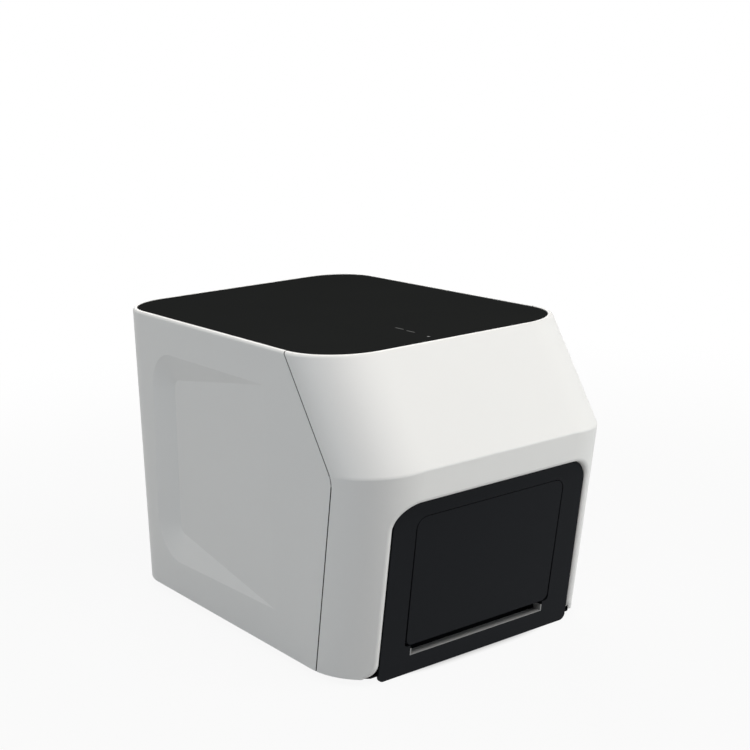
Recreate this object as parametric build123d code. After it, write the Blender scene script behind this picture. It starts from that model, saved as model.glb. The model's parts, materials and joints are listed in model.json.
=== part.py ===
from build123d import *
import math
import os

# A bench-top real-time thermal cycler with a motor-driven front drawer, in millimetres.
# Frame: origin at the centre of the footprint at the feet, +Z up, the front faces -Y.

# ---- driving dimensions: the outside -------------------------------------------------
WIDTH = 350.0
DEPTH = 525.0
HEIGHT = 352.0
FOOT_HEIGHT = 8.0
PAN_SHEET = 2.0
WALL = 3.0

HALF = WIDTH / 2
FRONT_Y = -DEPTH / 2                      # the brow, the foremost line
BACK_Y = DEPTH / 2
SHELL_BOTTOM = FOOT_HEIGHT
PAN_TOP = FOOT_HEIGHT + PAN_SHEET
BROW_Z = 241.0
TOP_SETBACK = 69.0                        # the top edge behind the brow
BOTTOM_SETBACK = 37.0                     # the bottom edge behind the brow
UPPER_SLOPE = TOP_SETBACK / (HEIGHT - BROW_Z)
LOWER_SLOPE = BOTTOM_SETBACK / (BROW_Z - SHELL_BOTTOM)
UPPER_CORNER = 74.0
LOWER_CORNER = 69.0                       # at the brow
CORNER_GROWTH = 0.055                     # how fast this radius grows towards the foot
BACK_CORNER = 64.0
TOP_EDGE_ROUND = 3.5
BROW_ROUND = 5.0
BROW_STEPS = 3

# the seam between the shells, seen from the side
SEAM_TOP_Y = -119.5
SEAM_KINK_Y = -198.0
SEAM_KINK_Z = 230.0
SEAM_BOTTOM_Y = -152.5
SEAM_ROUND = 28.0
SEAM_GAP = 1.5
TONGUE = 8.0                              # the lip that closes the seam behind
TONGUE_WALL = 2.0

# the top plate and the ledge that it rests on
RIM = 5.0
PLATE_GAP = 0.8
PLATE_THICK = 4.0
PLATE_DROP = 0.4
LEDGE = 12.0
WINDOWS = ((-17.0, -110.0, 15.0), (-18.5, -132.0, 15.0), (-21.5, -167.0, 5.0))
WINDOW_WIDTH = 2.4

# the shallow hand recess in each side, deepest at its rear
RECESS_TOP_Z = 309.0
RECESS_LOW_Z = (49.0, 57.0)               # at the rear and at the front
RECESS_REAR_Y = (172.0, 187.0)            # at the top and at the bottom
RECESS_FLOOR_Y = 143.0                    # where the floor is at its full depth
RECESS_FADE_Y = -77.0                     # where the floor meets the side
RECESS_DEPTH = 11.0
RECESS_WALL = 34.0                        # how far in the gentle wall runs at full depth
RECESS_CORNER = 46.0

# ---- the front opening, the fascia and the drawer front ------------------------------
OPENING_HALF = 132.0
OPENING_FLARE = 2.0                       # how much wider each side is at the foot
OPENING_TOP = 205.7
OPENING_CORNER = 28.0
OPENING_ROUND = 5.0
OPENING_FOOT_ROUND = 18.0                 # the inner corner of each leg's foot
OPENING_FOOT_SINK = 1.0                   # how far under the foot this round would end
FASCIA_TOP_Y = -247.8
FASCIA_SLOPE = 0.195
FASCIA_THICK = 3.0
FASCIA_LOW = 1.0                          # just clear of the bench
FASCIA_FOOT_ROUND = 7.0
APERTURE_HALF = 102.2
APERTURE_TOP = 186.0
APERTURE_CORNER = 13.0
DOOR_BOTTOM = 36.0
DOOR_SIDE_GAP = 1.2
DOOR_TOP_GAP = 0.8
DOOR_TAPER = 0.8                          # the side gap opens by this much towards the foot
DOOR_DEPTH = 10.0
DOOR_SKIN = 4.0
SLOT_HALF = 94.0                          # the finger slot under the drawer front
SLOT_FLOOR = 24.0
SLOT_LINER = 1.0
LINER_DEPTH = 11.0
LINER_END = 7.0                           # the height of its upturned ends
WELL_DEPTH = 21.0
WELL_WALL = 2.0
WELL_CORNER = 12.0

# ---- the mechanism -------------------------------------------------------------------
BLOCK_Y = -120.0                          # the wells' centre with the drawer shut
PITCH = 9.0                               # the spacing of a 96-well plate
COLUMNS = 12
ROWS = 8
DRAWER_TRAVEL = 170.0
TRAY_HALF = 92.0
TRAY_Z = 44.0
TRAY_FRONT = -206.0
TRAY_BACK = 60.0
SHEET = 2.0
RAIL_LOW = 56.0
RAIL_HIGH = 72.0
RAIL_OUT = 100.0
RAIL_GAP = 0.6
PLATE_X = 102.3                           # inner face of the chassis side plates
CHASSIS_FRONT = -178.0
CHASSIS_BACK = 90.0
CHASSIS_TOP = 330.0

MODULE = 1.0
PINION_TEETH = 18
PINION_Y = -165.0
PINION_SHAFT_R = 2.0
PRESSURE_ANGLE = 20.0
BACKLASH = 0.25
RACK_X = -75.0
RACK_PITCH_Z = 40.0
RACK_WIDTH = 8.0
PINION_Z = RACK_PITCH_Z - MODULE * PINION_TEETH / 2

SINK_LOW = 50.0
SINK_BASE_LOW = 88.0
PELTIER_LOW = 98.0
PELTIER_THICK = 4.0
BLOCK_TOP = 125.0

LID_LOW = 152.0
LID_TRAVEL = 10.0
CARRIER_LOW = 164.0
BRIDGE_LOW = 212.0
BRIDGE_THICK = 6.0
SCREW_X = 90.0
SCREW_Y = -62.0
SCREW_R = 4.0
RUN = 0.05                                # radial clearance of every running fit
LID_MOTOR_Y = -20.0
LID_PULLEY_LOW = 219.0
LID_PULLEY_R = 10.0
LID_SHAFT_R = 2.5
GUIDE_YS = (-168.0, -95.0)
BELT_WIDTH = 6.0
BELT_THICK = 1.4
BELT_CLEAR = 0.35

OPTICS_LOW = 236.0
OPTICS_HIGH = 266.0
OPTICS_ROD_Z = 251.0
OPTICS_ROD_R = 4.0
OPTICS_HALF_X = 28.0
OPTICS_HALF_Y = 58.0
SCAN_BELT_Y = -48.0
SCAN_PULLEY_X = 86.0
SCAN_PULLEY_R = 6.4
FILTER_WHEEL_R = 24.0
FILTER_ORBIT = 16.0
FILTER_R = 5.0

# ---- the rear ------------------------------------------------------------------------
PANEL_HALF = 132.0
PANEL_LOW = 28.0
PANEL_HIGH = 200.0
PANEL_THICK = 1.5
PANEL_CORNER = 5.0
PANEL_LEDGE = 6.0
PANEL_BORDER = 4.0
PANEL_SEAT = 4.4
PANEL_Y = BACK_Y - 2.6                    # outer face of the rear panel, sunk into the casing
FAN_X = 62.0
FAN_Z = 128.0
FAN_SIZE = 92.0
FAN_DEPTH = 25.0
FAN_PIN_R = 2.0
BOARD_X = 112.0
INLET_X = -96.0
INLET_Z = 62.0
SWITCH_Z = 96.0
ROCKER_Y = PANEL_Y - 2.0
ROCKER_HALF_X = 9.6
ROCKER_HALF_Z = 6.0
ROCKER_PIN_R = 1.0
PORT_Z = 62.0


# ---- helpers -------------------------------------------------------------------------
def block(x0, x1, y0, y1, z0, z1):
    """A box between opposite corners."""
    return Pos((x0 + x1) / 2, (y0 + y1) / 2, (z0 + z1) / 2) * Box(x1 - x0, y1 - y0, z1 - z0)


def upright(x, y, z0, z1, radius):
    """A cylinder along Z."""
    return Pos(x, y, (z0 + z1) / 2) * Cylinder(radius, z1 - z0)


def along_x(x0, x1, y, z, radius):
    """A cylinder along X."""
    return Pos((x0 + x1) / 2, y, z) * Rot(0, 90, 0) * Cylinder(radius, x1 - x0)


def along_y(x, y0, y1, z, radius):
    """A cylinder along Y."""
    return Pos(x, (y0 + y1) / 2, z) * Rot(90, 0, 0) * Cylinder(radius, y1 - y0)


def front_y(z):
    """The lower front face of the shells."""
    return FRONT_Y + (BROW_Z - z) * LOWER_SLOPE


def fascia_y(z):
    """The front face of the fascia and the drawer front, a little steeper than the shell."""
    return FASCIA_TOP_Y + (OPENING_TOP - z) * FASCIA_SLOPE


def side_slab(points):
    """A slab right across the machine, from its outline (y, z) seen from the side."""
    outline = make_face(Plane.YZ * Polyline(*points, close=True))
    return extrude(outline, 2 * WIDTH, both=True)


def leaning_slab(start, thick):
    """The space between two planes parallel to the fascia's front face."""
    low, high = -20.0, HEIGHT
    return side_slab([(fascia_y(low) + start, low), (fascia_y(high) + start, high),
                      (fascia_y(high) + start + thick, high), (fascia_y(low) + start + thick, low)])


def plan_face(half, front, back, front_r, back_r):
    """A plan outline with round corners, on z = 0."""
    sheet = Pos(0, (front + back) / 2) * Rectangle(2 * half, back - front)
    sheet = fillet(sheet.vertices().group_by(Axis.Y)[0], front_r)
    return fillet(sheet.vertices().group_by(Axis.Y)[-1], back_r)


def front_face(half, low, high, top_r, low_r=0.0, taper=0.0):
    """An outline on the XZ plane, seen from the front, narrower by taper at its foot."""
    corners = [(-half + taper, low), (half - taper, low), (half, high), (-half, high)]
    sheet = make_face(Polyline(*corners, close=True))
    sheet = fillet(sheet.vertices().group_by(Axis.Y)[-1], top_r)
    if low_r:
        sheet = fillet(sheet.vertices().group_by(Axis.Y)[0], low_r)
    return Plane.XZ * sheet


def through_front(face, depth=140.0):
    """An outline on the XZ plane pushed through the front of the machine."""
    return extrude(Pos(0, FRONT_Y - 20 + depth) * face, depth)


def slanted_prism(half, y_low, slope, corner, low, high):
    """A front with round corners whose outline moves by slope millimetres in Y per millimetre of Z."""
    rise = high - low
    outline = Pos(0, 0, low) * plan_face(half, y_low, BACK_Y + 300, corner, 1)
    return extrude(outline, rise * math.hypot(1, slope), dir=(0, slope, 1))


def lower_prism(inset, low, high):
    """The lower front moved inwards by inset; its round corners grow towards the foot."""
    ends = []
    for z in (low, high):
        y = front_y(z) + inset * math.hypot(1, LOWER_SLOPE)
        corner = LOWER_CORNER + (BROW_Z - z) * CORNER_GROWTH - inset
        ends.append(Pos(0, 0, z) * plan_face(HALF - inset, y, BACK_Y + 300, corner, 1))
    return loft(ends, ruled=True)


def shell_form(inset, low=SHELL_BOTTOM, high=HEIGHT):
    """The outside of the two shells, moved inwards by inset, from low to high."""
    half = HALF - inset
    upper_low = FRONT_Y - (BROW_Z - low) * UPPER_SLOPE + inset * math.hypot(1, UPPER_SLOPE)
    plan = plan_face(half, FRONT_Y - 60, BACK_Y - inset, 1, BACK_CORNER - inset)
    column = extrude(Pos(0, 0, low) * plan, high - low)
    upper = slanted_prism(half, upper_low, UPPER_SLOPE, UPPER_CORNER - inset, low, high)
    return column & lower_prism(inset, low, high) & upper


def brow_planes():
    """Slanted prisms that plane the brow's crease down to a round of BROW_ROUND."""
    lean = [math.atan(-LOWER_SLOPE), math.atan(UPPER_SLOPE)]
    turn = lean[1] - lean[0]
    middle = (lean[0] + lean[1]) / 2
    away = BROW_ROUND / math.cos(turn / 2)
    centre_y = FRONT_Y + away * math.cos(middle)
    centre_z = BROW_Z - away * math.sin(middle)
    prisms = []
    for step in range(1, BROW_STEPS):
        share = step / BROW_STEPS
        angle = lean[0] + turn * share
        slope = math.tan(angle)
        face_y = centre_y - BROW_ROUND * math.cos(angle)
        face_z = centre_z + BROW_ROUND * math.sin(angle)
        corner = LOWER_CORNER + (UPPER_CORNER - LOWER_CORNER) * share
        low_y = face_y - (face_z - SHELL_BOTTOM) * slope
        prisms.append(slanted_prism(HALF, low_y, slope, corner, SHELL_BOTTOM, HEIGHT))
    return prisms


def seam_zone(shift, reach):
    """Everything between the seam line moved by shift and the same line moved by reach, in Y."""
    low, high = -20.0, HEIGHT + 20
    upper = (SEAM_TOP_Y - SEAM_KINK_Y) / (HEIGHT - SEAM_KINK_Z)
    lower = (SEAM_BOTTOM_Y - SEAM_KINK_Y) / (SEAM_KINK_Z - SHELL_BOTTOM)
    top_y = SEAM_TOP_Y + (high - HEIGHT) * upper
    low_y = SEAM_BOTTOM_Y + (SHELL_BOTTOM - low) * lower

    def line(offset):
        return FilletPolyline((low_y + offset, low), (SEAM_KINK_Y + offset, SEAM_KINK_Z),
                              (top_y + offset, high), radius=SEAM_ROUND)

    near, far = line(shift), line(reach)
    outline = [near, Line(near @ 1, far @ 1), far, Line(far @ 0, near @ 0)]
    return extrude(Plane.YZ * make_face(outline), 2 * WIDTH, both=True)


def recess_cutter(side, grow=0.0):
    """The hand recess of one side, with gentle walls and a floor that fades out to the front."""
    ahead = RECESS_FADE_Y - 80
    points = [(RECESS_REAR_Y[1], RECESS_LOW_Z[0]), (RECESS_REAR_Y[0], RECESS_TOP_Z),
              (ahead, RECESS_TOP_Z), (ahead, RECESS_LOW_Z[1])]
    outline = make_face(Polyline(*points, close=True))
    outline = fillet(outline.vertices(), RECESS_CORNER)
    spread = RECESS_WALL / RECESS_DEPTH
    mouth = offset(outline, (2.0 + grow) * spread)
    bottom = offset(outline, grow * spread - RECESS_WALL * 1.2)
    prism = loft([Plane.YZ * mouth, Pos(-2.0 - RECESS_DEPTH * 1.2, 0, 0) * (Plane.YZ * bottom)], ruled=True)
    prism = Pos(HALF + 2.0, 0, 0) * prism
    fall = RECESS_DEPTH / (RECESS_FLOOR_Y - RECESS_FADE_Y)
    floor = make_face(Polyline((HALF + 40, ahead - 80), (HALF + 40, BACK_Y),
                               (HALF - grow - (BACK_Y - RECESS_FADE_Y) * fall, BACK_Y),
                               (HALF - grow + (RECESS_FADE_Y - ahead + 80) * fall, ahead - 80), close=True))
    prism = prism & extrude(floor, HEIGHT)
    return prism if side > 0 else mirror(prism, about=Plane.YZ)


# ---- the two shells ------------------------------------------------------------------
def opening_face(grow=0.0, low=SHELL_BOTTOM, low_r=0.0):
    """The front opening's outline from low upwards, grown all round."""
    flare = OPENING_FLARE * (OPENING_TOP + grow - low) / (OPENING_TOP - SHELL_BOTTOM)
    return front_face(OPENING_HALF + grow, low, OPENING_TOP + grow, OPENING_CORNER + grow, low_r, -flare)


def opening_cutter():
    """The front opening with the rounded inner corner of each leg's foot."""
    reach = OPENING_HALF + OPENING_FLARE
    under = SHELL_BOTTOM - OPENING_FOOT_SINK
    corners = [(reach + 40, -20), (reach + 40, under), (reach, under), (OPENING_HALF, OPENING_TOP)]
    outline = corners + [(-x, z) for x, z in reversed(corners)]
    sheet = make_face(Polyline(*outline, close=True))
    sheet = fillet(sheet.vertices().group_by(Axis.Y)[-1], OPENING_CORNER)
    feet = sheet.vertices().filter_by(lambda v: v.Y > under - 1 and v.Y < under + 1 and abs(v.X) < reach + 1)
    return through_front(Plane.XZ * fillet(feet, OPENING_FOOT_ROUND))


def flange_zone():
    """The white return wall around the front opening, back to the rear of the fascia."""
    return through_front(opening_face(WALL)) & leaning_slab(-100, 100 + FASCIA_THICK)


def solid_outside():
    """Both shells and what they enclose as one solid, with every outer edge rounded."""
    form = shell_form(0)
    for prism in brow_planes():
        form = form & prism
    form = fillet(form.edges().group_by(Axis.Z)[-1], TOP_EDGE_ROUND)
    form = form - opening_cutter()
    rim = form.edges().filter_by(lambda e: near_opening(e) and on_front(e))
    form = fillet(rim, OPENING_ROUND)
    for side in (-1, 1):
        form = form - recess_cutter(side)
    return form


def near_opening(edge):
    """Whether an edge belongs to the front opening."""
    middle = edge.center()
    return abs(middle.X) < OPENING_HALF + OPENING_FOOT_ROUND and middle.Z < OPENING_TOP + 1


def on_front(edge):
    """Whether an edge lies on the outside of the front, above the foot."""
    middle = edge.center()
    return middle.Z > SHELL_BOTTOM + 1 and middle.Y < front_y(middle.Z) + 12


def shell_cavity():
    """The room inside the shells, with the ledge for the top plate left standing."""
    ledge_low = HEIGHT - PLATE_DROP - PLATE_THICK - WALL
    room = shell_form(WALL, SHELL_BOTTOM - 6) & block(-HALF, HALF, FRONT_Y, BACK_Y, 0, ledge_low)
    inner = LEDGE + RIM
    ledge_hole = plan_face(HALF - inner, FRONT_Y + TOP_SETBACK + inner, BACK_Y - inner,
                           UPPER_CORNER - LEDGE, BACK_CORNER - LEDGE)
    plate_hole = plan_face(HALF - RIM, FRONT_Y + TOP_SETBACK + RIM, BACK_Y - RIM,
                           UPPER_CORNER - RIM, BACK_CORNER - RIM)
    room = room + extrude(Pos(0, 0, ledge_low - 1) * ledge_hole, 20)
    room = room + extrude(Pos(0, 0, ledge_low + WALL) * plate_hole, 20)
    room = room - flange_zone()
    for side in (-1, 1):
        room = room - recess_cutter(side, WALL)
    return room


def make_shells():
    """The rear casing with its seam tongue, and the front cover."""
    walls = solid_outside() - shell_cavity()
    casing = walls & seam_zone(SEAM_GAP / 2, 2 * DEPTH)
    cover = walls & seam_zone(-DEPTH, -SEAM_GAP / 2)
    tongue = shell_form(WALL, SHELL_BOTTOM + 20, HEIGHT - 20) - shell_form(WALL + TONGUE_WALL, 0, HEIGHT)
    under_cover = shell_form(WALL + 0.2, SHELL_BOTTOM + 20, HEIGHT - 20)
    root = tongue & seam_zone(SEAM_GAP / 2, TONGUE)
    lip = tongue & under_cover & seam_zone(-TONGUE, SEAM_GAP / 2)
    casing = casing + root + lip + panel_frame()
    return casing - panel_hole(-PANEL_LEDGE, 20) - panel_hole(0, PANEL_SEAT), cover


def panel_hole(grow, deep):
    """The room of the rear panel, grown all round, from behind the machine to this depth inside."""
    half = PANEL_HALF + grow
    hole = block(-half, half, BACK_Y - deep, BACK_Y + 20, PANEL_LOW - grow, PANEL_HIGH + grow)
    return fillet(hole.edges().filter_by(Axis.Y), PANEL_CORNER)


def panel_frame():
    """The thickened border inside the rear wall that the rear panel is screwed to."""
    return panel_hole(PANEL_BORDER, PANEL_SEAT + WALL) & block(-HALF, HALF, 0, BACK_Y - WALL + 0.5, 0, HEIGHT)


# ---- the outside -----------------------------------------------------------------------
def make_top_plate():
    """The black plate set into the rims of both shells."""
    inset = RIM + PLATE_GAP
    outline = plan_face(HALF - inset, FRONT_Y + TOP_SETBACK + inset, BACK_Y - inset,
                        UPPER_CORNER - inset, BACK_CORNER - inset)
    plate = extrude(Pos(0, 0, HEIGHT - PLATE_DROP - PLATE_THICK) * outline, PLATE_THICK)
    return plate - make_windows(0.0)


def make_windows(drop=0.1):
    """Three small indicator windows near the front of the top plate."""
    top = HEIGHT - PLATE_DROP
    windows = None
    for x, y, length in WINDOWS:
        face = Pos(x, y, top - 1.6) * Rot(0, 0, 90) * SlotOverall(length, WINDOW_WIDTH)
        window = extrude(face, 1.6 - drop)
        windows = window if windows is None else windows + window
    return windows


def make_fascia():
    """The black front panel down to the bench: drawer aperture, finger slot and its well."""
    panel = through_front(opening_face(-0.3, FASCIA_LOW, FASCIA_FOOT_ROUND)) & leaning_slab(0, FASCIA_THICK)
    ledge = DOOR_BOTTOM - DOOR_SIDE_GAP
    aperture = front_face(APERTURE_HALF, ledge, APERTURE_TOP, APERTURE_CORNER, 4)
    low = SLOT_FLOOR - SLOT_LINER
    slot = front_face(SLOT_HALF, low, DOOR_BOTTOM + 4, 1)
    panel = panel - through_front(aperture) - through_front(slot)
    well = extrude(Pos(0, 0, low - WELL_WALL) * slot_plan(WELL_WALL), ledge - low + WELL_WALL)
    well = well - extrude(Pos(0, 0, low) * slot_plan(0), 60)
    return panel + (well & leaning_slab(FASCIA_THICK - 1, 100))


def slot_plan(grow):
    """The finger well's plan, grown to the sides and the rear, and open to the front."""
    face = fascia_y(SLOT_FLOOR)
    return plan_face(SLOT_HALF + grow, face - 80, face + WELL_DEPTH + grow, 1, WELL_CORNER + grow)


def make_slot_liner():
    """The pale strip along the front of the finger slot's floor, with both ends turned up."""
    rear = fascia_y(SLOT_FLOOR) + LINER_DEPTH
    strip = block(-SLOT_HALF, SLOT_HALF, -400, rear, SLOT_FLOOR - SLOT_LINER, SLOT_FLOOR + LINER_END)
    inner = SLOT_HALF - 1.5 * SLOT_LINER
    strip = strip - block(-inner, inner, -400, 0, SLOT_FLOOR, HEIGHT)
    return strip & leaning_slab(0, 100)


def make_base_pan():
    """The sheet pan between the shells and behind the fascia, with a lip and air slots."""
    inset = WALL + 0.3
    pan = shell_form(inset, SHELL_BOTTOM, SHELL_BOTTOM + 14) - shell_form(inset + PAN_SHEET, PAN_TOP, HEIGHT)
    pan = pan - side_slab([(-400, PAN_TOP), (-400, 80), (-170, 80), (-170, PAN_TOP)])
    pan = pan - block(-HALF, HALF, -400, fascia_y(SHELL_BOTTOM) + FASCIA_THICK + 0.6, 0, 60)
    slot = SlotOverall(60, 4)
    for row in range(8):
        for x in (-70, 0, 70):
            pan = pan - extrude(Pos(x, -90 + row * 9, 0) * slot, 20)
    return pan


def make_feet():
    """Four rubber feet under the pan."""
    feet = None
    for x in (-128, 128):
        for y in (-150, 205):
            foot = upright(x, y, 0, FOOT_HEIGHT, 12)
            foot = chamfer(foot.edges().group_by(Axis.Z)[0], 1.5)
            feet = foot if feet is None else feet + foot
    return feet


def make_rear_panel():
    """The rear panel with its fan grille, inlet, switch and port cut-outs and air slots."""
    back = PANEL_Y
    front = back - PANEL_THICK
    panel = panel_hole(-0.4, PANEL_SEAT) & block(-HALF, HALF, front, back, 0, HEIGHT)
    for ring in range(4):
        outer = FAN_SIZE / 2 - 4 - ring * 10
        cut = along_y(FAN_X, front - 5, back + 5, FAN_Z, outer)
        cut = cut - along_y(FAN_X, front - 6, back + 6, FAN_Z, outer - 6)
        panel = panel - (cut - grille_spokes())
    panel = panel - block(INLET_X - 13.7, INLET_X + 13.7, front - 5, back + 5, INLET_Z - 10.2, INLET_Z + 10.2)
    panel = panel - block(INLET_X - 13.7, INLET_X + 13.7, front - 5, back + 5, SWITCH_Z - 9.7, SWITCH_Z + 9.7)
    panel = panel - block(-28.2, -15.8, front - 5, back + 5, PORT_Z - 5.7, PORT_Z + 5.7)
    panel = panel - block(-8.2, 8.2, front - 5, back + 5, PORT_Z - 6.9, PORT_Z + 6.9)
    slot = Plane.XZ * SlotOverall(56, 3.6)
    for row in range(7):
        panel = panel - extrude(Pos(-78, back, 128 + row * 8) * slot, 10, both=True)
    for x, z in panel_screw_places():
        panel = panel - along_y(x, front - 5, back + 5, z, 1.7)
    return panel


def grille_spokes():
    """Four spokes that hold the rings of the fan grille together."""
    spokes = None
    for turn in (45, 135):
        bar = Pos(FAN_X, PANEL_Y, FAN_Z) * Rot(0, turn, 0) * Box(FAN_SIZE, 30, 5)
        spokes = bar if spokes is None else spokes + bar
    return spokes


def panel_screw_places():
    """Where the rear panel's screws sit, on its edges."""
    return [(x, z) for x in (-PANEL_HALF + 4, PANEL_HALF - 4) for z in (PANEL_LOW + 20, PANEL_HIGH - 20)]


def make_panel_screws():
    """Pan-head screws of the rear panel."""
    screws = None
    for x, z in panel_screw_places():
        head = along_y(x, PANEL_Y, PANEL_Y + 1.8, z, 3.0)
        head = fillet(head.edges().sort_by(Axis.Y)[-1:], 0.8)
        drive = Pos(x, PANEL_Y + 1.8, z) * (Box(3.2, 1.6, 0.7) + Box(0.7, 1.6, 3.2))
        screw = (head - drive) + along_y(x, PANEL_Y - PANEL_THICK, PANEL_Y, z, 1.5)
        screws = screw if screws is None else screws + screw
    return screws


def make_inlet():
    """The three-pin power inlet with its socket and blades."""
    back = PANEL_Y + 1.5
    front = back - 24
    body = block(INLET_X - 13.4, INLET_X + 13.4, front, PANEL_Y + 0.5, INLET_Z - 9.9, INLET_Z + 9.9)
    flange = block(INLET_X - 16, INLET_X + 16, PANEL_Y, back, INLET_Z - 13, INLET_Z + 13)
    socket = block(INLET_X - 11.2, INLET_X + 11.2, back - 17, back + 5, INLET_Z - 7.7, INLET_Z + 7.7)
    socket = chamfer(socket.edges().filter_by(Axis.Y).group_by(Axis.Z)[-1], 4)
    inlet = body + flange - socket
    for x, z in ((INLET_X - 6.5, INLET_Z - 2), (INLET_X + 6.5, INLET_Z - 2), (INLET_X, INLET_Z + 2.5)):
        inlet = inlet + block(x - 1, x + 1, back - 18, back - 6, z - 2.2, z + 2.2)
    return inlet


def make_switch_bezel():
    """The frame that carries the power rocker."""
    back = PANEL_Y + 1.5
    body = block(INLET_X - 13.4, INLET_X + 13.4, back - 18, back, SWITCH_Z - 9.4, SWITCH_Z + 9.4)
    body = body + block(INLET_X - 15.5, INLET_X + 15.5, PANEL_Y, back, SWITCH_Z - 12, SWITCH_Z + 12)
    body = body - block(INLET_X - 10.5, INLET_X + 10.5, back - 12, back + 4, SWITCH_Z - 7, SWITCH_Z + 7)
    return body - along_x(INLET_X - 12, INLET_X + 12, ROCKER_Y, SWITCH_Z, ROCKER_PIN_R + RUN)


def make_rocker():
    """The power rocker on its two pivot pins."""
    half, deep, proud = ROCKER_HALF_Z, 4.0, 3.4
    points = [(-deep, -half), (proud, -half), (proud - 1.4, 0), (proud, half), (-deep, half)]
    outline = make_face(Polyline(*[(ROCKER_Y + y, SWITCH_Z + z) for y, z in points], close=True))
    rocker = Pos(INLET_X, 0, 0) * extrude(Plane.YZ * outline, ROCKER_HALF_X, both=True)
    return rocker + along_x(INLET_X - 11.8, INLET_X + 11.8, ROCKER_Y, SWITCH_Z, ROCKER_PIN_R)


def make_ports():
    """The two data sockets."""
    square = block(-28, -16, PANEL_Y - 16, PANEL_Y + 0.6, PORT_Z - 5.5, PORT_Z + 5.5)
    square = square - block(-26.2, -17.8, PANEL_Y - 10, PANEL_Y + 5, PORT_Z - 3.9, PORT_Z + 3.9)
    square = square + block(-24.6, -19.4, PANEL_Y - 10.5, PANEL_Y - 1, PORT_Z - 1.5, PORT_Z + 1.5)
    network = block(-8, 8, PANEL_Y - 20, PANEL_Y + 0.6, PORT_Z - 6.7, PORT_Z + 6.7)
    network = network - block(-6, 6, PANEL_Y - 13, PANEL_Y + 5, PORT_Z - 4.2, PORT_Z + 3.2)
    network = network - block(-3, 3, PANEL_Y - 13, PANEL_Y + 5, PORT_Z - 5.6, PORT_Z - 4)
    return square + network


# ---- the chassis -----------------------------------------------------------------------
def make_side_plate(side):
    """One folded side plate of the chassis, standing on the pan."""
    plate = block(PLATE_X, PLATE_X + SHEET, CHASSIS_FRONT, CHASSIS_BACK, PAN_TOP, CHASSIS_TOP)
    foot = block(PLATE_X, PLATE_X + 18, CHASSIS_FRONT, CHASSIS_BACK, PAN_TOP, PAN_TOP + SHEET)
    plate = plate + foot
    plate = chamfer(plate.edges().filter_by(Axis.X).group_by(Axis.Z)[-1], 24)
    return plate if side > 0 else mirror(plate, about=Plane.YZ)


def make_bridge():
    """The cross plate over the drawer that carries the heated lid's drive."""
    bridge = block(-PLATE_X, PLATE_X, BLOCK_Y - 62, 2, BRIDGE_LOW, BRIDGE_LOW + BRIDGE_THICK)
    bridge = bridge - block(-56, 56, BLOCK_Y - 38, BLOCK_Y + 38, BRIDGE_LOW - 5, BRIDGE_LOW + 20)
    for x in (-SCREW_X, SCREW_X):
        bridge = bridge - upright(x, SCREW_Y, BRIDGE_LOW - 5, BRIDGE_LOW + 20, SCREW_R + RUN)
    return bridge - upright(0, LID_MOTOR_Y, BRIDGE_LOW - 5, BRIDGE_LOW + 20, 4)


def make_outer_rails():
    """The fixed channels of the drawer slides."""
    rails = None
    for side in (-1, 1):
        web = sorted((side * (RAIL_OUT + RAIL_GAP), side * PLATE_X))
        lip = sorted((side * (RAIL_OUT - 5), side * PLATE_X))
        rail = block(*web, CHASSIS_FRONT + 2, TRAY_BACK, RAIL_LOW - 2, RAIL_HIGH + 2)
        rail = rail + block(*lip, CHASSIS_FRONT + 2, TRAY_BACK, RAIL_LOW - 2, RAIL_LOW - RAIL_GAP)
        rail = rail + block(*lip, CHASSIS_FRONT + 2, TRAY_BACK, RAIL_HIGH + RAIL_GAP, RAIL_HIGH + 2)
        rails = rail if rails is None else rails + rail
    return rails


def make_drive_motor():
    """The drawer's gear motor, lying along X under the tray."""
    x0 = RACK_X + 15
    motor = along_x(x0, x0 + 46, PINION_Y, PINION_Z, 11)
    motor = chamfer(motor.edges().group_by(Axis.X)[-1], 1.5)
    return motor - along_x(x0 - 1, x0 + 7, PINION_Y, PINION_Z, PINION_SHAFT_R + RUN)


def make_motor_bracket():
    """The angle that holds the gear motor on the pan."""
    x1 = RACK_X + 15
    bracket = block(x1 - SHEET, x1, PINION_Y - 12, PINION_Y + 12, PAN_TOP, PINION_Z + 11)
    bracket = bracket + block(x1, x1 + 30, PINION_Y - 12, PINION_Y + 12, PAN_TOP, PAN_TOP + SHEET)
    return bracket - along_x(x1 - 10, x1 + 10, PINION_Y, PINION_Z, 4)


def make_guide_rods():
    """The four rods that the heated lid slides on."""
    rods = None
    for x in (-SCREW_X, SCREW_X):
        for y in GUIDE_YS:
            rod = upright(x, y, CARRIER_LOW - 4 - LID_TRAVEL, BRIDGE_LOW, SCREW_R)
            rods = rod if rods is None else rods + rod
    return rods


def make_lid_motor():
    """The lid's stepper motor, hung under the bridge."""
    motor = block(-17.5, 17.5, LID_MOTOR_Y - 17.5, LID_MOTOR_Y + 17.5, BRIDGE_LOW - 32, BRIDGE_LOW)
    motor = chamfer(motor.edges().filter_by(Axis.Z), 3)
    return motor - upright(0, LID_MOTOR_Y, BRIDGE_LOW - 8, BRIDGE_LOW + 5, LID_SHAFT_R + RUN)


def belt_loop(circles, inside):
    """The outline of a belt round circles (x, y), its inner face at radius inside."""
    bands = []
    for radius in (inside + BELT_THICK, inside):
        rings = [(Pos(x, y) * Circle(radius)).edge() for x, y in circles]
        bands.append(make_hull(rings))
    return bands[0] - bands[1]


def make_lid_belt():
    """The toothed belt round the motor pulley and both screw pulleys."""
    centres = [(-SCREW_X, SCREW_Y), (SCREW_X, SCREW_Y), (0, LID_MOTOR_Y)]
    loop = belt_loop(centres, LID_PULLEY_R + BELT_CLEAR)
    return extrude(Pos(0, 0, LID_PULLEY_LOW + 1) * loop, BELT_WIDTH)


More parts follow.
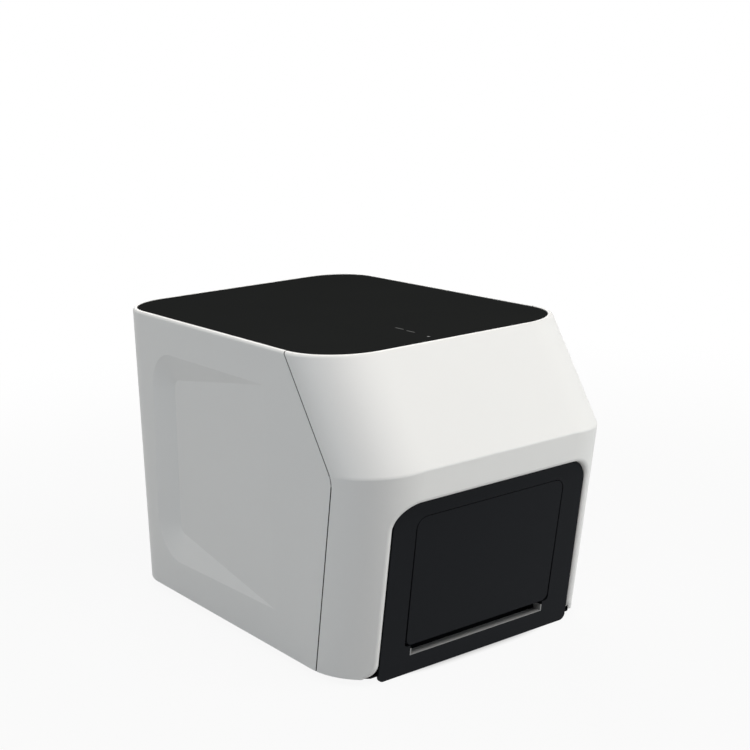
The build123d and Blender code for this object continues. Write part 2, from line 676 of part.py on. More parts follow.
def make_scan_belt():
    """The toothed belt that pulls the scan head."""
    centres = [(-SCAN_PULLEY_X, OPTICS_ROD_Z), (SCAN_PULLEY_X, OPTICS_ROD_Z)]
    loop = belt_loop(centres, SCAN_PULLEY_R + BELT_CLEAR)
    return extrude(Pos(0, SCAN_BELT_Y, 0) * (Plane.XZ * loop), BELT_WIDTH / 2, both=True)


def make_optics_rods():
    """The two rods that the scan head slides on."""
    rods = None
    for y in (BLOCK_Y - 46, BLOCK_Y + 46):
        rod = along_x(-PLATE_X, PLATE_X, y, OPTICS_ROD_Z, OPTICS_ROD_R)
        rods = rod if rods is None else rods + rod
    return rods


def make_scan_motor():
    """The scan head's stepper motor on the left side plate."""
    y0 = SCAN_BELT_Y + 6
    motor = block(-PLATE_X, -SCAN_PULLEY_X + 16, y0, y0 + 28, OPTICS_ROD_Z - 16, OPTICS_ROD_Z + 16)
    return motor - along_y(-SCAN_PULLEY_X, y0 - 1, y0 + 8, OPTICS_ROD_Z, LID_SHAFT_R + RUN)


def make_idler_bracket():
    """The bracket and pin of the scan belt's idler."""
    y0 = SCAN_BELT_Y + 6
    bracket = block(SCAN_PULLEY_X - 8, PLATE_X, y0, y0 + 4, OPTICS_ROD_Z - 10, OPTICS_ROD_Z + 10)
    return bracket + along_y(SCAN_PULLEY_X, SCAN_BELT_Y - 4, y0, OPTICS_ROD_Z, LID_SHAFT_R)


# ---- electronics -----------------------------------------------------------------------
def make_power_supply():
    """The enclosed power supply on the pan."""
    supply = block(-152, -42, 112, 226, PAN_TOP, PAN_TOP + 46)
    supply = chamfer(supply.edges().filter_by(Axis.Y), 1.5)
    slot = Plane.XY * SlotOverall(34, 3)
    for row in range(6):
        supply = supply - extrude(Pos(-97, 150 + row * 9, PAN_TOP + 42) * slot, 10)
    return supply


def board_holes():
    """Where the main board is screwed down, (y, z)."""
    return [(y, z) for y in (-54, 74) for z in (66, 214)]


def make_main_board():
    """The main board, upright beside the right side plate."""
    board = block(BOARD_X, BOARD_X + 1.6, -60, 80, 60, 220)
    for y, z in board_holes():
        board = board - along_x(BOARD_X - 5, BOARD_X + 5, y, z, 1.6)
    return board


def make_board_standoffs():
    """The standoffs between side plate and main board."""
    standoffs = None
    for y, z in board_holes():
        standoff = along_x(PLATE_X + SHEET, BOARD_X, y, z, 3)
        standoffs = standoff if standoffs is None else standoffs + standoff
    return standoffs


def make_board_parts():
    """Processor, relays, capacitors and connectors on the main board."""
    x0 = BOARD_X + 1.6
    parts = block(x0, x0 + 2.4, -12, 20, 126, 158)
    for row in range(4):
        parts = parts + block(x0, x0 + 10, -48 + row * 22, -34 + row * 22, 70, 84)
    for row in range(3):
        parts = parts + along_x(x0, x0 + 14, 44, 118 + row * 20, 6)
    for row in range(2):
        parts = parts + block(x0, x0 + 11, -46, -24, 170 + row * 20, 182 + row * 20)
    return parts


def fan_frame(x, y0, z, size, depth, hole):
    """An axial fan's frame along Y: duct, motor seat on three arms, and the rotor's pin."""
    frame = block(x - size / 2, x + size / 2, y0, y0 + depth, z - size / 2, z + size / 2)
    frame = fillet(frame.edges().filter_by(Axis.Y), 4)
    frame = frame - along_y(x, y0 - 5, y0 + depth + 5, z, hole)
    seat = hole * 0.42
    arms = along_y(x, y0, y0 + 2.5, z, seat)
    for turn in (90, 210, 330):
        arm = Pos(x, y0 + 1.25, z) * Rot(0, turn, 0) * Pos(hole / 2 + 1, 0, 0) * Box(hole + 1, 2.5, 4)
        arms = arms + arm
    arms = arms & along_y(x, y0 - 5, y0 + depth + 5, z, hole + 1.0)
    return frame + arms + along_y(x, y0, y0 + depth - 4, z, FAN_PIN_R)


def fan_rotor(x, y0, z, hole, depth, blades):
    """A fan's rotor: hub with swept blades, turning on the frame's pin."""
    hub_r = hole * 0.42
    low, high = y0 + 3.3, y0 + depth - 2
    rotor = along_y(x, low, high, z, hub_r)
    long = hole - 1.2 - hub_r + 2
    for index in range(blades):
        blade = Pos(hub_r - 2 + long / 2, 0, 0) * Rot(48, 0, 0) * Box(long, 1.4, (high - low) * 1.1)
        blade = Pos(x, (low + high) / 2, z) * Rot(0, 360 * index / blades, 0) * blade
        rotor = rotor + blade
    rotor = rotor & (along_y(x, low, high, z, hole - 1.2))
    return rotor - along_y(x, low - 1, y0 + depth - 4 + 0.4, z, FAN_PIN_R + RUN)


# ---- the drawer ------------------------------------------------------------------------
def door_outline(shrink=0.0):
    """The drawer front seen from the front, a touch narrower at its foot."""
    half = APERTURE_HALF - DOOR_SIDE_GAP - shrink
    return front_face(half, DOOR_BOTTOM + shrink, APERTURE_TOP - DOOR_TOP_GAP - shrink,
                      APERTURE_CORNER - 1.5, 8, DOOR_TAPER)


def make_drawer_front():
    """The black drawer front, hollow behind its skin."""
    door = through_front(door_outline()) & leaning_slab(0, DOOR_DEPTH)
    hollow = through_front(door_outline(DOOR_SKIN)) & leaning_slab(DOOR_SKIN, DOOR_DEPTH)
    return door - hollow


def make_tray():
    """The drawer's folded tray with the bracket that holds the drawer front."""
    tray = block(-TRAY_HALF, TRAY_HALF, TRAY_FRONT, TRAY_BACK, TRAY_Z, TRAY_Z + SHEET)
    for side in (-1, 1):
        wall = sorted((side * TRAY_HALF, side * (TRAY_HALF - SHEET)))
        tray = tray + block(*wall, TRAY_FRONT + 2, TRAY_BACK, TRAY_Z, RAIL_HIGH + 4)
    bracket = leaning_slab(DOOR_DEPTH, SHEET) & block(-TRAY_HALF, TRAY_HALF, -400, 0, TRAY_Z, 150)
    return tray + bracket


def make_inner_rails():
    """The moving bars of the drawer slides."""
    rails = None
    for side in (-1, 1):
        across = sorted((side * TRAY_HALF, side * RAIL_OUT))
        rail = block(*across, TRAY_FRONT + 2, TRAY_BACK - 5, RAIL_LOW, RAIL_HIGH)
        rails = rail if rails is None else rails + rail
    return rails


def make_rack():
    """The toothed rack under the tray; one tooth stands over the pinion's axis."""
    pitch = math.pi * MODULE
    root = RACK_PITCH_Z + 1.25 * MODULE
    tip = RACK_PITCH_Z - MODULE
    lean = math.tan(math.radians(PRESSURE_ANGLE))
    half = pitch / 4 - BACKLASH / 2
    first, last = -2, math.ceil(DRAWER_TRAVEL / pitch) + 2
    points = [(PINION_Y + (first - 0.5) * pitch, TRAY_Z), (PINION_Y + (first - 0.5) * pitch, root)]
    for tooth in range(first, last + 1):
        middle = PINION_Y + tooth * pitch
        wide = half + (root - RACK_PITCH_Z) * lean
        narrow = half - MODULE * lean
        points += [(middle - wide, root), (middle - narrow, tip)]
        points += [(middle + narrow, tip), (middle + wide, root)]
    points += [(PINION_Y + (last + 0.5) * pitch, root), (PINION_Y + (last + 0.5) * pitch, TRAY_Z)]
    outline = make_face(Plane.YZ * Polyline(*points, close=True))
    return Pos(RACK_X, 0, 0) * extrude(outline, RACK_WIDTH / 2, both=True)


def make_pinion():
    """The drive pinion and its shaft; a tooth gap faces up into the rack."""
    pitch_r = MODULE * PINION_TEETH / 2
    base_r = pitch_r * math.cos(math.radians(PRESSURE_ANGLE))
    root_r, tip_r = pitch_r - 1.25 * MODULE, pitch_r + MODULE

    def spread(radius):
        """The angle by which the involute has closed in at this radius."""
        angle = math.acos(min(1.0, base_r / radius))
        return math.tan(angle) - angle

    at_pitch = math.pi / (2 * PINION_TEETH) - BACKLASH / 2 / pitch_r
    flank = [root_r, base_r, pitch_r - 0.2, pitch_r + 0.2, pitch_r + 0.6, tip_r]
    points = []
    for tooth in range(PINION_TEETH):
        middle = math.pi / 2 + math.pi / PINION_TEETH + tooth * 2 * math.pi / PINION_TEETH
        halves = [at_pitch + spread(pitch_r) - spread(max(radius, base_r)) for radius in flank]
        rise = [(radius, middle - half) for radius, half in zip(flank, halves)]
        fall = [(radius, middle + half) for radius, half in zip(reversed(flank), reversed(halves))]
        points += [(radius * math.cos(turn), radius * math.sin(turn)) for radius, turn in rise + fall]
    outline = make_face(Plane.YZ * Polyline(*points, close=True))
    gear = extrude(outline, RACK_WIDTH / 2 + 1, both=True)
    shaft = along_x(RACK_X - 8, RACK_X + 20, 0, 0, PINION_SHAFT_R)
    return Pos(0, PINION_Y, PINION_Z) * (Pos(RACK_X, 0, 0) * gear + shaft)


def make_well_block():
    """The metal block with 96 tapered wells."""
    solid = block(-61, 61, BLOCK_Y - 41, BLOCK_Y + 41, PELTIER_LOW + PELTIER_THICK, BLOCK_TOP)
    deep = 16.0
    wells = [Pos(x, y, BLOCK_TOP - deep / 2 + 0.01) * Cone(1.4, 3.1, deep) for x, y in well_places()]
    return solid - wells


def well_places():
    """The 96 well centres."""
    return [((column - (COLUMNS - 1) / 2) * PITCH, BLOCK_Y + (row - (ROWS - 1) / 2) * PITCH)
            for column in range(COLUMNS) for row in range(ROWS)]


def make_block_frame():
    """The plastic surround of the well block."""
    frame = block(-76, 76, BLOCK_Y - 56, BLOCK_Y + 56, PELTIER_LOW, BLOCK_TOP + 2)
    frame = fillet(frame.edges().filter_by(Axis.Z), 6)
    frame = chamfer(frame.edges().group_by(Axis.Z)[-1], 1.5)
    return frame - block(-61.5, 61.5, BLOCK_Y - 41.5, BLOCK_Y + 41.5, 0, 200)


def make_peltiers():
    """Six thermoelectric modules between block and heat sink."""
    modules = None
    for x in (-40.5, 0, 40.5):
        for y in (-20.5, 20.5):
            module = block(x - 19, x + 19, BLOCK_Y + y - 19, BLOCK_Y + y + 19, PELTIER_LOW,
                           PELTIER_LOW + PELTIER_THICK)
            modules = module if modules is None else modules + module
    return modules


def make_heat_sink():
    """The finned heat sink under the modules."""
    sink = block(-72, 72, BLOCK_Y - 52, BLOCK_Y + 52, SINK_BASE_LOW, PELTIER_LOW)
    fins = [block(x - 0.8, x + 0.8, BLOCK_Y - 50, BLOCK_Y + 50, SINK_LOW, SINK_BASE_LOW)
            for x in [(index - 10.5) * 5.4 for index in range(22)]]
    return sink + fins


def make_sink_brackets():
    """The two folded strips that carry the heat sink on the tray."""
    strips = None
    for side in (-1, 1):
        across = sorted((side * 66, side * 68))
        foot = sorted((side * 66, side * 80))
        strip = block(*across, BLOCK_Y - 40, BLOCK_Y + 40, TRAY_Z + SHEET, SINK_BASE_LOW)
        strip = strip + block(*foot, BLOCK_Y - 40, BLOCK_Y + 40, TRAY_Z + SHEET, TRAY_Z + 2 * SHEET)
        strips = strip if strips is None else strips + strip
    return strips


# ---- the heated lid --------------------------------------------------------------------
def make_heater_plate():
    """The lid's heated plate with a sight hole over every well."""
    plate = block(-62, 62, BLOCK_Y - 43, BLOCK_Y + 43, LID_LOW, LID_LOW + 8)
    holes = [upright(x, y, LID_LOW - 1, LID_LOW + 9, 2.2) for x, y in well_places()]
    return plate - holes


def make_lid_carrier():
    """The frame that lifts the heater plate."""
    carrier = block(-99, 99, BLOCK_Y - 60, SCREW_Y + 12, CARRIER_LOW, CARRIER_LOW + 8)
    carrier = carrier - block(-56, 56, BLOCK_Y - 38, BLOCK_Y + 38, 0, 300)
    for x in (-59, 59):
        for y in (-39, 39):
            carrier = carrier + upright(x, BLOCK_Y + y, LID_LOW + 8, CARRIER_LOW + 1, 3)
    for x in (-SCREW_X, SCREW_X):
        carrier = carrier - upright(x, SCREW_Y, 0, 300, 6.5)
        for y in GUIDE_YS:
            carrier = carrier - upright(x, y, 0, 300, 6)
    return carrier


def make_lid_nuts():
    """The flanged nuts on the lead screws."""
    nuts = None
    for x in (-SCREW_X, SCREW_X):
        nut = upright(x, SCREW_Y, CARRIER_LOW - 6, CARRIER_LOW + 8, 6.5)
        nut = nut + upright(x, SCREW_Y, CARRIER_LOW + 8, CARRIER_LOW + 11, 9)
        nut = nut - upright(x, SCREW_Y, 0, 300, SCREW_R + RUN)
        nuts = nut if nuts is None else nuts + nut
    return nuts


def make_lid_bushes():
    """The plain bushes on the guide rods."""
    bushes = None
    for x in (-SCREW_X, SCREW_X):
        for y in GUIDE_YS:
            bush = upright(x, y, CARRIER_LOW - 4, CARRIER_LOW + 12, 6)
            bush = bush - upright(x, y, 0, 300, SCREW_R + RUN)
            bushes = bush if bushes is None else bushes + bush
    return bushes


def make_lead_screw(side):
    """One lead screw, running in the bridge."""
    low = CARRIER_LOW - 6 - LID_TRAVEL
    return upright(side * SCREW_X, SCREW_Y, low, LID_PULLEY_LOW + 8, SCREW_R)


def pulley(x, y, low, radius, bore):
    """A flanged belt pulley along Z."""
    body = upright(x, y, low, low + 8, radius)
    for start in (low, low + 7.2):
        body = body + upright(x, y, start, start + 0.8, radius + 1.6)
    return body - upright(x, y, low - 1, low + 9, bore)


def make_lid_drive_pulley():
    """The lid motor's pulley and shaft."""
    wheel = pulley(0, LID_MOTOR_Y, LID_PULLEY_LOW, LID_PULLEY_R, 1)
    return wheel + upright(0, LID_MOTOR_Y, BRIDGE_LOW - 7, LID_PULLEY_LOW + 8, LID_SHAFT_R)


# ---- the scan head ---------------------------------------------------------------------
def make_optics_carriage():
    """The scan head's body with its rod bores and a stub for the filter wheel."""
    body = block(-OPTICS_HALF_X, OPTICS_HALF_X, BLOCK_Y - OPTICS_HALF_Y, BLOCK_Y + OPTICS_HALF_Y,
                 OPTICS_LOW, OPTICS_HIGH)
    body = chamfer(body.edges().filter_by(Axis.Z), 3)
    for y in (BLOCK_Y - 46, BLOCK_Y + 46):
        body = body - along_x(-60, 60, y, OPTICS_ROD_Z, OPTICS_ROD_R + RUN)
    return body + upright(0, BLOCK_Y, OPTICS_HIGH, OPTICS_HIGH + 9, 3)


def make_lenses():
    """Eight objective lenses, one over each row of wells."""
    lenses = None
    for row in range(ROWS):
        y = BLOCK_Y + (row - (ROWS - 1) / 2) * PITCH
        lens = upright(0, y, OPTICS_LOW - 5, OPTICS_LOW, 3.4)
        lens = fillet(lens.edges().group_by(Axis.Z)[0], 1.2)
        lenses = lens if lenses is None else lenses + lens
    return lenses


def filter_places():
    """The six filter centres round the wheel."""
    turns = [math.radians(60 * index) for index in range(6)]
    return [(FILTER_ORBIT * math.cos(turn), BLOCK_Y + FILTER_ORBIT * math.sin(turn)) for turn in turns]


def make_filter_wheel():
    """The wheel that brings one of six filters over the light path."""
    wheel = upright(0, BLOCK_Y, OPTICS_HIGH + 1, OPTICS_HIGH + 5, FILTER_WHEEL_R)
    wheel = wheel + upright(0, BLOCK_Y, OPTICS_HIGH + 1, OPTICS_HIGH + 8, 6)
    for x, y in filter_places():
        wheel = wheel - upright(x, y, 0, HEIGHT, FILTER_R)
    return wheel - upright(0, BLOCK_Y, OPTICS_HIGH - 5, OPTICS_HIGH + 30, 3 + RUN)


def make_filters():
    """Six coloured glass filters."""
    glasses = None
    for x, y in filter_places():
        glass = upright(x, y, OPTICS_HIGH + 2, OPTICS_HIGH + 4, FILTER_R)
        glasses = glass if glasses is None else glasses + glass
    return glasses


def make_detector():
    """The detector housing, reaching over the filter wheel from the front."""
    box = block(-18, 18, BLOCK_Y - 54, BLOCK_Y - 28, OPTICS_HIGH, OPTICS_HIGH + 42)
    return box + block(-12, 12, BLOCK_Y - 28, BLOCK_Y - 8, OPTICS_HIGH + 12, OPTICS_HIGH + 42)


def make_light_source():
    """The lamp module, reaching over the filter wheel from the rear."""
    box = block(-18, 18, BLOCK_Y + 28, BLOCK_Y + 54, OPTICS_HIGH, OPTICS_HIGH + 32)
    return box + block(-12, 12, BLOCK_Y + 8, BLOCK_Y + 28, OPTICS_HIGH + 12, OPTICS_HIGH + 32)


def make_belt_clamp():
    """The clamp between scan head and the belt's lower run."""
    run_z = OPTICS_ROD_Z - SCAN_PULLEY_R - BELT_CLEAR - BELT_THICK / 2
    y0, y1 = BLOCK_Y + OPTICS_HALF_Y, SCAN_BELT_Y + BELT_WIDTH / 2 + 1
    clamp = block(-8, 8, y0, y1, run_z - 5, run_z + 5)
    return clamp - block(-9, 9, SCAN_BELT_Y - BELT_WIDTH / 2 - 0.5, y1 + 1, run_z - 1.3, run_z + 1.3)


def make_scan_pulley(side):
    """A pulley of the scan belt: the driven one has a shaft, the idler a bore."""
    flat = pulley(0, 0, -4, SCAN_PULLEY_R, 1 if side < 0 else LID_SHAFT_R + RUN)
    if side < 0:
        flat = flat + upright(0, 0, -4, 13, LID_SHAFT_R)
    return Pos(side * SCAN_PULLEY_X, SCAN_BELT_Y, OPTICS_ROD_Z) * Rot(-90, 0, 0) * flat


def main():
    """Writes every node's STEP file."""
    os.makedirs("parts", exist_ok=True)
    casing, cover = make_shells()
    sink_fan = (0, BLOCK_Y + 60, TRAY_Z + SHEET + 30)
    rear_fan = (FAN_X, PANEL_Y - PANEL_THICK - FAN_DEPTH, FAN_Z)
    nodes = {
        "rear_casing": casing,
        "front_cover": cover,
        "top_plate": make_top_plate(),
        "indicator_windows": make_windows(),
        "front_fascia": make_fascia(),
        "slot_liner": make_slot_liner(),
        "base_pan": make_base_pan(),
        "rubber_feet": make_feet(),
        "rear_panel": make_rear_panel(),
        "panel_screws": make_panel_screws(),
        "power_inlet": make_inlet(),
        "switch_frame": make_switch_bezel(),
        "power_rocker": make_rocker(),
        "data_ports": make_ports(),
        "side_plates": make_side_plate(-1) + make_side_plate(1),
        "lid_bridge": make_bridge(),
        "outer_slide_rails": make_outer_rails(),
        "drawer_motor": make_drive_motor(),
        "drive_brackets": make_motor_bracket() + make_idler_bracket(),
        "guide_rods": make_guide_rods() + make_optics_rods(),
        "lid_motor": make_lid_motor(),
        "lid_belt": make_lid_belt(),
        "scan_belt": make_scan_belt(),
        "scan_motor": make_scan_motor(),
        "power_supply": make_power_supply(),
        "main_board": make_main_board(),
        "board_standoffs": make_board_standoffs(),
        "board_components": make_board_parts(),
        "exhaust_fan_frame": fan_frame(*rear_fan, FAN_SIZE, FAN_DEPTH, 43),
        "exhaust_fan_rotor": fan_rotor(*rear_fan, 43, FAN_DEPTH, 7),
        "drawer_front": make_drawer_front(),
        "drawer_tray": make_tray(),
        "inner_slide_rails": make_inner_rails(),
        "drawer_rack": make_rack(),
        "drive_pinion": make_pinion(),
        "well_block": make_well_block(),
        "block_frame": make_block_frame(),
        "peltier_modules": make_peltiers(),
        "heat_sink": make_heat_sink(),
        "sink_brackets": make_sink_brackets(),
        "sink_fan_frame": fan_frame(*sink_fan, 60, 15, 28),
        "sink_fan_rotor": fan_rotor(*sink_fan, 28, 15, 7),
        "heater_plate": make_heater_plate(),
        "lid_carrier": make_lid_carrier(),
        "lid_nuts": make_lid_nuts(),
        "lid_bushes": make_lid_bushes(),
        "left_lead_screw": make_lead_screw(-1),
        "right_lead_screw": make_lead_screw(1),
        "left_screw_pulley": pulley(-SCREW_X, SCREW_Y, LID_PULLEY_LOW, LID_PULLEY_R, SCREW_R),
        "right_screw_pulley": pulley(SCREW_X, SCREW_Y, LID_PULLEY_LOW, LID_PULLEY_R, SCREW_R),
        "lid_drive_pulley": make_lid_drive_pulley(),
        "scan_carriage": make_optics_carriage(),
        "objective_lenses": make_lenses(),
        "filter_wheel": make_filter_wheel(),
        "colour_filters": make_filters(),
        "detector_housing": make_detector(),
        "light_source": make_light_source(),
        "belt_clamp": make_belt_clamp(),
        "scan_drive_pulley": make_scan_pulley(-1),
        "scan_idler_pulley": make_scan_pulley(1),
    }
    for name, shape in nodes.items():
        export_step(shape, "parts/" + name + ".step")
        box = shape.bounding_box()
        print(name, "valid" if shape.is_valid else "INVALID", len(shape.solids()),
              [round(v, 1) for v in (*box.min, *box.max)])


if __name__ == "__main__":
    main()
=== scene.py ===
import json
import math

import bpy
from mathutils import Matrix, Vector

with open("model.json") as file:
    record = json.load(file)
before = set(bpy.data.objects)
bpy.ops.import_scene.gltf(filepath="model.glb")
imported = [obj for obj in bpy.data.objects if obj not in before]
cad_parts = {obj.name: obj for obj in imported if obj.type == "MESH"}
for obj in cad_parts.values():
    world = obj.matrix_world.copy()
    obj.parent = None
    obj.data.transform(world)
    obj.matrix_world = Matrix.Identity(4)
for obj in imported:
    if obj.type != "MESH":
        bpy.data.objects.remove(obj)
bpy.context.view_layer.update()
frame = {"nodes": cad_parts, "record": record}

# the line where the two shells meet, seen from the side, in metres
SEAM_KINK = (-0.198, 0.230)               # the Y and Z where it bends
SEAM_RISE = 0.6434                        # metres of Y per metre of Z above the kink
SEAM_FALL = 0.2050                        # and below it
SEAM_BLEND = 0.012                        # how softly it bends
SEAM_HALF = 0.00078                       # half the dark line's width
SEAM_EDGE = 0.0001                        # and the strip over which it fades

WINDOW_GAP = (-0.155, -0.145)             # the Y between the front window and the others

# sizes of marks on the surfaces, in metres
FLOW_MARK = 0.12
HANDLED_PATCH = 0.035
SHELL_GRAIN = 0.0007
ZINC_CRYSTAL = 1 / 260
LINES_ALONG_X = (0.05, 1, 1)              # what draws noise out into lines
LINES_ALONG_Y = (1, 0.05, 1)

FLOOR_REACH = 12.0                        # half the floor's width
FLOOR_FADE = (0.5, 1.6)                   # the shadow fades out between these distances
FLOOR_GLOW = (0.92, 1.0)                  # the white in what it shows, near and far
FOOTPRINT = (0.175, 0.235)                # half the width and depth that the object covers
FOOTPRINT_EDGE = (0.45, 0.75)             # how softly that cover ends

ROOM_LEVEL = 0.18                         # the even light from all round
LAMP_TARGET = Vector((0.0, 0.0, 0.2))


# ---- shader values ---------------------------------------------------------------------
class Value:
    """An output of a shader node; sums on values add their Math nodes."""

    def __init__(self, tree, socket=None):
        self.tree = tree
        self.socket = socket

    def node(self, kind, settings=None, sockets=None, output=0):
        """Adds a node: its settings first, then the values or links of its sockets."""
        made = self.tree.nodes.new("ShaderNode" + kind)
        for name, setting in (settings or {}).items():
            setattr(made, name, setting)
        for name, wanted in (sockets or {}).items():
            if isinstance(wanted, Value):
                self.tree.links.new(wanted.socket, made.inputs[name])
            else:
                made.inputs[name].default_value = wanted
        return Value(self.tree, made.outputs[output])

    def maths(self, operation, *terms):
        return self.node("Math", {"operation": operation}, dict(enumerate(terms)))

    def __add__(self, other):
        return self.maths("ADD", self, other)

    def __radd__(self, other):
        return self.maths("ADD", other, self)

    def __sub__(self, other):
        return self.maths("SUBTRACT", self, other)

    def __rsub__(self, other):
        return self.maths("SUBTRACT", other, self)

    def __mul__(self, other):
        return self.maths("MULTIPLY", self, other)

    def __rmul__(self, other):
        return self.maths("MULTIPLY", other, self)

    def __abs__(self):
        return self.maths("ABSOLUTE", self)

    def power(self, exponent):
        return self.maths("POWER", self, exponent)

    def most(self, other):
        return self.maths("MAXIMUM", self, other)

    def along(self, letter):
        """One coordinate of a place, or one channel of a colour."""
        return self.node("SeparateXYZ", None, {0: self}, output=letter)

    def ramp(self, low, high, start=0.0, end=1.0):
        """Start up to low, end from high on, and smooth in between."""
        settings = {"interpolation_type": "SMOOTHSTEP", "clamp": True}
        sockets = {"Value": self, "From Min": low, "From Max": high, "To Min": start, "To Max": end}
        return self.node("MapRange", settings, sockets)

    def tint(self, first, second):
        """The first colour where this is 0, the second where it is 1."""
        sockets = {0: self, 6: rgba(first), 7: rgba(second)}
        return self.node("Mix", {"data_type": "RGBA"}, sockets, output=2)


def rgba(colour):
    return colour if isinstance(colour, Value) else (*colour, 1.0)


class Finish:
    """A material of one Principled shader, with the nodes that vary it over the surface."""

    def __init__(self, name, **constants):
        self.material = bpy.data.materials.new(name)
        self.material.use_nodes = True
        self.tree = self.material.node_tree
        self.shader = self.tree.nodes["Principled BSDF"]
        self.add = Value(self.tree)
        for socket, amount in constants.items():
            self.shader.inputs[socket.replace("_", " ")].default_value = amount

    def place(self, stretch=(1, 1, 1)):
        """The piece's own coordinates in metres, stretched along its axes."""
        spot = self.add.node("TexCoord", output="Object")
        return self.add.node("VectorMath", {"operation": "MULTIPLY"}, {0: spot, 1: stretch})

    def noise(self, size, detail, stretch=(1, 1, 1)):
        """Cloudy noise from 0 to 1, its lumps about size metres across."""
        sockets = {"Vector": self.place(stretch), "Scale": 1 / size, "Detail": detail}
        return self.add.node("TexNoise", None, sockets)

    def cells(self, size, output="Distance"):
        """Random cells about size metres across: the distance inside each, or its own colour."""
        sockets = {"Vector": self.place(), "Scale": 1 / size}
        return self.add.node("TexVoronoi", {"feature": "F1"}, sockets, output)

    def axis(self, letter):
        return self.place().along(letter)

    def colour(self, wanted):
        self.tree.links.new(wanted.socket, self.shader.inputs["Base Color"])

    def roughness(self, wanted):
        self.tree.links.new(wanted.socket, self.shader.inputs["Roughness"])

    def bump(self, height, depth, strength):
        """Raises the surface by depth metres where height is 1."""
        sockets = {"Height": height, "Distance": depth, "Strength": strength}
        made = self.add.node("Bump", None, sockets)
        self.tree.links.new(made.socket, self.shader.inputs["Normal"])

    def grain(self, size, depth):
        """Flow marks, and an eroded grain with its bump; gives the two back to colour with."""
        flow = self.noise(FLOW_MARK, 3)
        specks = self.noise(size, 2)
        self.bump(self.cells(size) * 0.6 + specks * 0.4, depth, 0.35)
        return flow, specks


def lighter(colour, share):
    return tuple(min(1.0, channel * share) for channel in colour)


def around(colour, spread):
    """The colour a little darker and a little lighter."""
    return lighter(colour, 1 - spread), lighter(colour, 1 + spread)


# ---- finishes --------------------------------------------------------------------------
def moulded(name, colour, rough, grain, level, spread=0.02):
    """Moulded plastic: a fine eroded grain and slight flow marks."""
    finish = Finish(name, Specular_IOR_Level=level)
    flow, specks = finish.grain(grain, grain * 0.06)
    finish.colour((flow * 0.7 + specks * 0.3).tint(*around(colour, spread)))
    finish.roughness(rough - 0.05 + flow * 0.06 + specks * 0.05)
    return finish.material


def shell_plastic(name, colour, rough):
    """Pale satin plastic, with painted shade: a dark line along the seam where the shells meet."""
    finish = Finish(name, Specular_IOR_Level=0.3)
    flow, specks = finish.grain(SHELL_GRAIN, 0.00004)
    handled = finish.noise(HANDLED_PATCH, 4)
    height = finish.axis("Z") - SEAM_KINK[1]
    line = finish.add.maths("SMOOTH_MAX", height * SEAM_RISE, height * -SEAM_FALL, SEAM_BLEND)
    beside = abs(finish.axis("Y") - SEAM_KINK[0] - line)
    # painted shade: the seam's dark line stands in for the shade in a gap that the shape does not have
    seam_shade = 1 - beside.ramp(SEAM_HALF, SEAM_HALF + SEAM_EDGE)
    plastic = (flow * 0.7 + specks * 0.3).tint(*around(colour, 0.012))
    finish.colour(seam_shade.tint(plastic, (0.06, 0.06, 0.062)))
    finish.roughness(rough - 0.06 + flow * 0.05 + specks * 0.04 + handled * 0.05)
    return finish.material


def window_print(name):
    """Printed smoked windows, opaque: the front one is painted lighter, as painted light for the light
    that comes through it.
    """
    finish = Finish(name, Specular_IOR_Level=0.0)
    smoke = finish.noise(0.0008, 2)
    # painted light: the front window is coloured lighter than the others
    front = 1 - finish.axis("Y").ramp(*WINDOW_GAP)
    finish.colour((front * 0.8 + smoke * 0.2).tint((0.11, 0.113, 0.113), (0.30, 0.31, 0.31)))
    finish.roughness(0.35 + smoke * 0.1)
    return finish.material


def brushed(name, colour, rough, stretch=LINES_ALONG_Y):
    """Rolled or drawn metal: fine lines along one axis, and dull patches."""
    finish = Finish(name, Metallic=1.0)
    lines = finish.noise(0.0006, 3, stretch)
    patch = finish.noise(0.03, 3)
    finish.colour((lines * 0.5 + patch * 0.5).tint(lighter(colour, 0.86), lighter(colour, 1.08)))
    finish.roughness(rough - 0.08 + lines * 0.1 + patch * 0.08)
    finish.bump(lines, 0.00001, 0.3)
    return finish.material


def plated(name, colour):
    """Zinc-plated sheet: large flat crystals, each a little lighter or darker."""
    finish = Finish(name, Metallic=1.0)
    grey = finish.cells(ZINC_CRYSTAL, "Color").along("X")
    haze = finish.noise(0.02, 4)
    finish.colour((grey * 0.5 + haze * 0.5).tint(lighter(colour, 0.8), lighter(colour, 1.1)))
    finish.roughness(0.3 + grey * 0.12 + haze * 0.08)
    finish.bump(haze, 0.00002, 0.2)
    return finish.material


def coated(name, colour, rough, level=0.3):
    """Powder coat: an orange-peel skin."""
    finish = Finish(name, Specular_IOR_Level=level)
    peel = finish.noise(0.0014, 2)
    haze = finish.noise(0.05, 3)
    finish.colour((haze * 0.6 + peel * 0.4).tint(*around(colour, 0.07)))
    finish.roughness(rough - 0.04 + haze * 0.06 + peel * 0.04)
    finish.bump(peel, 0.00006, 0.4)
    return finish.material


def rubbery(name, colour):
    """Matt rubber with a bloom."""
    finish = Finish(name, Specular_IOR_Level=0.2)
    bloom = finish.noise(0.012, 4)
    pores = finish.noise(0.0005, 2)
    finish.colour(bloom.tint(lighter(colour, 0.8), lighter(colour, 1.4)))
    finish.roughness(0.75 + bloom * 0.12)
    finish.bump(pores, 0.00003, 0.4)
    return finish.material


def ceramic(name, colour):
    """Fired alumina, faintly mottled."""
    finish = Finish(name, Specular_IOR_Level=0.4)
    mottle = finish.noise(0.004, 4)
    finish.colour(mottle.tint(lighter(colour, 0.94), lighter(colour, 1.03)))
    finish.roughness(0.4 + mottle * 0.15)
    finish.bump(mottle, 0.00002, 0.3)
    return finish.material


def glassy(name, colour, rough):
    """Polished glass with a faint coating."""
    finish = Finish(name, Transmission_Weight=0.9, IOR=1.5)
    film = finish.noise(0.006, 2)
    finish.colour(film.tint(lighter(colour, 0.9), lighter(colour, 1.05)))
    finish.roughness(rough + film * 0.03)
    return finish.material


